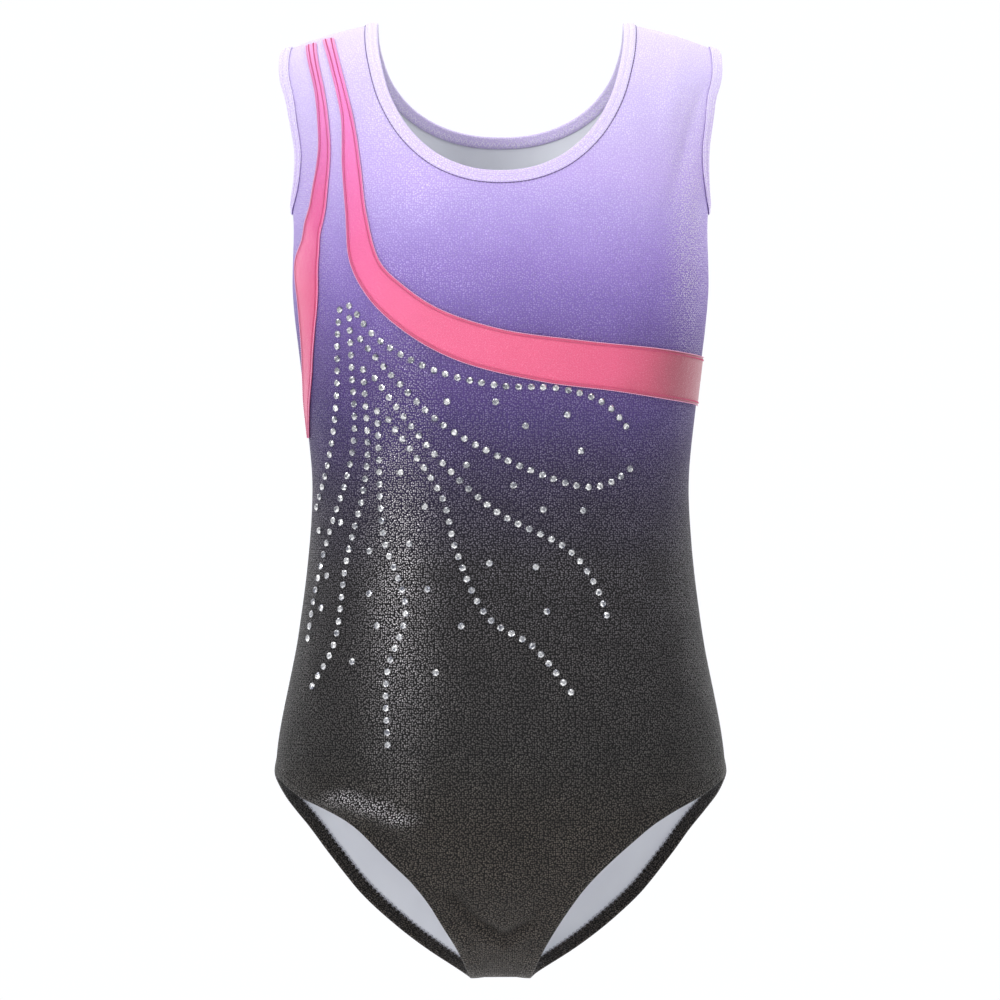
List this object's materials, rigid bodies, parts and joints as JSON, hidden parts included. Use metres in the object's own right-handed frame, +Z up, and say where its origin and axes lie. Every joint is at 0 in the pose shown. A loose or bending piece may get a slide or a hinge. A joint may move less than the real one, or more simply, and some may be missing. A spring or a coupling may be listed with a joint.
{
  "type": "gymnastics leotard",
  "caption": "Child's sleeveless pull-on gymnastics leotard, filled out as worn, in fading foil-dot spandex with appliqued satin stripes and rays of rhinestones.",
  "frame": {"origin": "midway between the shoulders, level with the top of the shoulder seams, in the plane of the side seams", "axes": "+Z up towards the neck, -Y out of the front, +X towards the wearer's left"},
  "size_m": [0.2478, 0.1664, 0.5223],
  "materials": {
    "foil_spandex": "matte stretch knit with a pebbled foil-dot print, lilac at the top fading through purple to charcoal",
    "neck_spandex": "pale lilac foil-dot stretch knit",
    "pink_foil": "satin pink foil knit, darker towards the wearer's left",
    "lining_jersey": "soft white jersey",
    "elastic": "braided white elastic",
    "thread": "overlocked polyester thread",
    "rhinestone": "faceted crystal with a silvered back"
  },
  "bodies": {
    "root": {"front_panel": "foil_spandex", "back_panel": "foil_spandex", "gusset_lining": "lining_jersey", "neck_binding": "neck_spandex", "neck_elastic": "elastic", "crotch_seam": "thread", "chest_stripe": "pink_foil", "shoulder_stripe": "pink_foil", "left_armhole_binding": "foil_spandex", "left_armhole_elastic": "elastic", "left_leg_hem": "foil_spandex", "left_leg_elastic": "elastic", "left_side_seam": "thread", "left_shoulder_tape": "elastic", "right_armhole_binding": "foil_spandex", "right_armhole_elastic": "elastic", "right_leg_hem": "foil_spandex", "right_leg_elastic": "elastic", "right_side_seam": "thread", "right_shoulder_tape": "elastic", "rhinestone_ray_1": "rhinestone", "rhinestone_ray_2": "rhinestone", "rhinestone_ray_3": "rhinestone", "rhinestone_ray_4": "rhinestone", "rhinestone_ray_5": "rhinestone", "rhinestone_ray_6": "rhinestone", "rhinestone_ray_7": "rhinestone", "rhinestone_ray_8": "rhinestone", "rhinestone_1": "rhinestone", "rhinestone_2": "rhinestone", "rhinestone_3": "rhinestone", "rhinestone_4": "rhinestone", "rhinestone_5": "rhinestone", "rhinestone_6": "rhinestone", "rhinestone_7": "rhinestone", "rhinestone_8": "rhinestone", "rhinestone_9": "rhinestone", "rhinestone_10": "rhinestone", "rhinestone_11": "rhinestone", "rhinestone_12": "rhinestone", "rhinestone_13": "rhinestone", "rhinestone_14": "rhinestone", "rhinestone_15": "rhinestone", "rhinestone_16": "rhinestone", "rhinestone_17": "rhinestone", "rhinestone_18": "rhinestone", "rhinestone_19": "rhinestone", "rhinestone_20": "rhinestone", "rhinestone_21": "rhinestone", "rhinestone_22": "rhinestone", "rhinestone_23": "rhinestone", "rhinestone_24": "rhinestone", "rhinestone_25": "rhinestone", "rhinestone_26": "rhinestone"}
  },
  "joints": []
}
